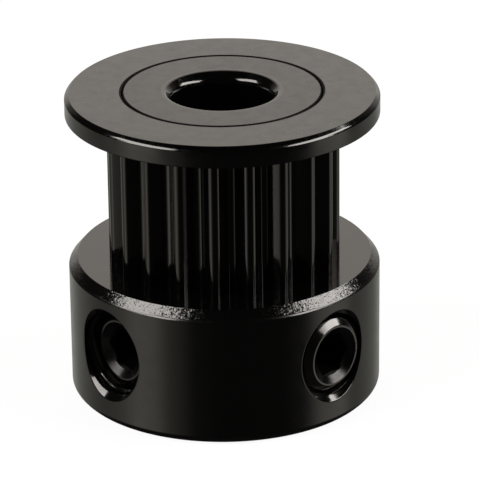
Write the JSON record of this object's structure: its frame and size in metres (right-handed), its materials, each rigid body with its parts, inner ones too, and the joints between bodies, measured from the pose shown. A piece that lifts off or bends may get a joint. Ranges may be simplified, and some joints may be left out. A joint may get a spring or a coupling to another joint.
{
  "type": "timing belt pulley",
  "caption": "Black timing belt pulley with a toothed barrel, a wide clamping hub, a pressed end flange, a through bore and radial socket set screws.",
  "frame": {"origin": "centre of the hub's flat end face, which the part stands on", "axes": "+Z along the bore from the hub towards the flange; -Y is the side between the two set screws, which point 46.5 degrees to its left and right"},
  "size_m": [0.016, 0.016, 0.016],
  "materials": {
    "body": "black anodised, fine turned",
    "flange": "black anodised, fine turned",
    "screws": "black oxide"
  },
  "bodies": {
    "pulley": {"pulley_body": "body", "end_flange": "flange"},
    "left_screw": {"set_screw_left": "screws"},
    "right_screw": {"set_screw_right": "screws"}
  },
  "joints": [
    {"name": "left_screw_travel", "type": "slide", "parent": "pulley", "child": "left_screw", "axis": [0.7254, 0.6884, 0], "range_m": [-0.0007, 0.0007]},
    {"name": "right_screw_travel", "type": "slide", "parent": "pulley", "child": "right_screw", "axis": [-0.7254, 0.6884, 0], "range_m": [0, 0.0014]}
  ]
}
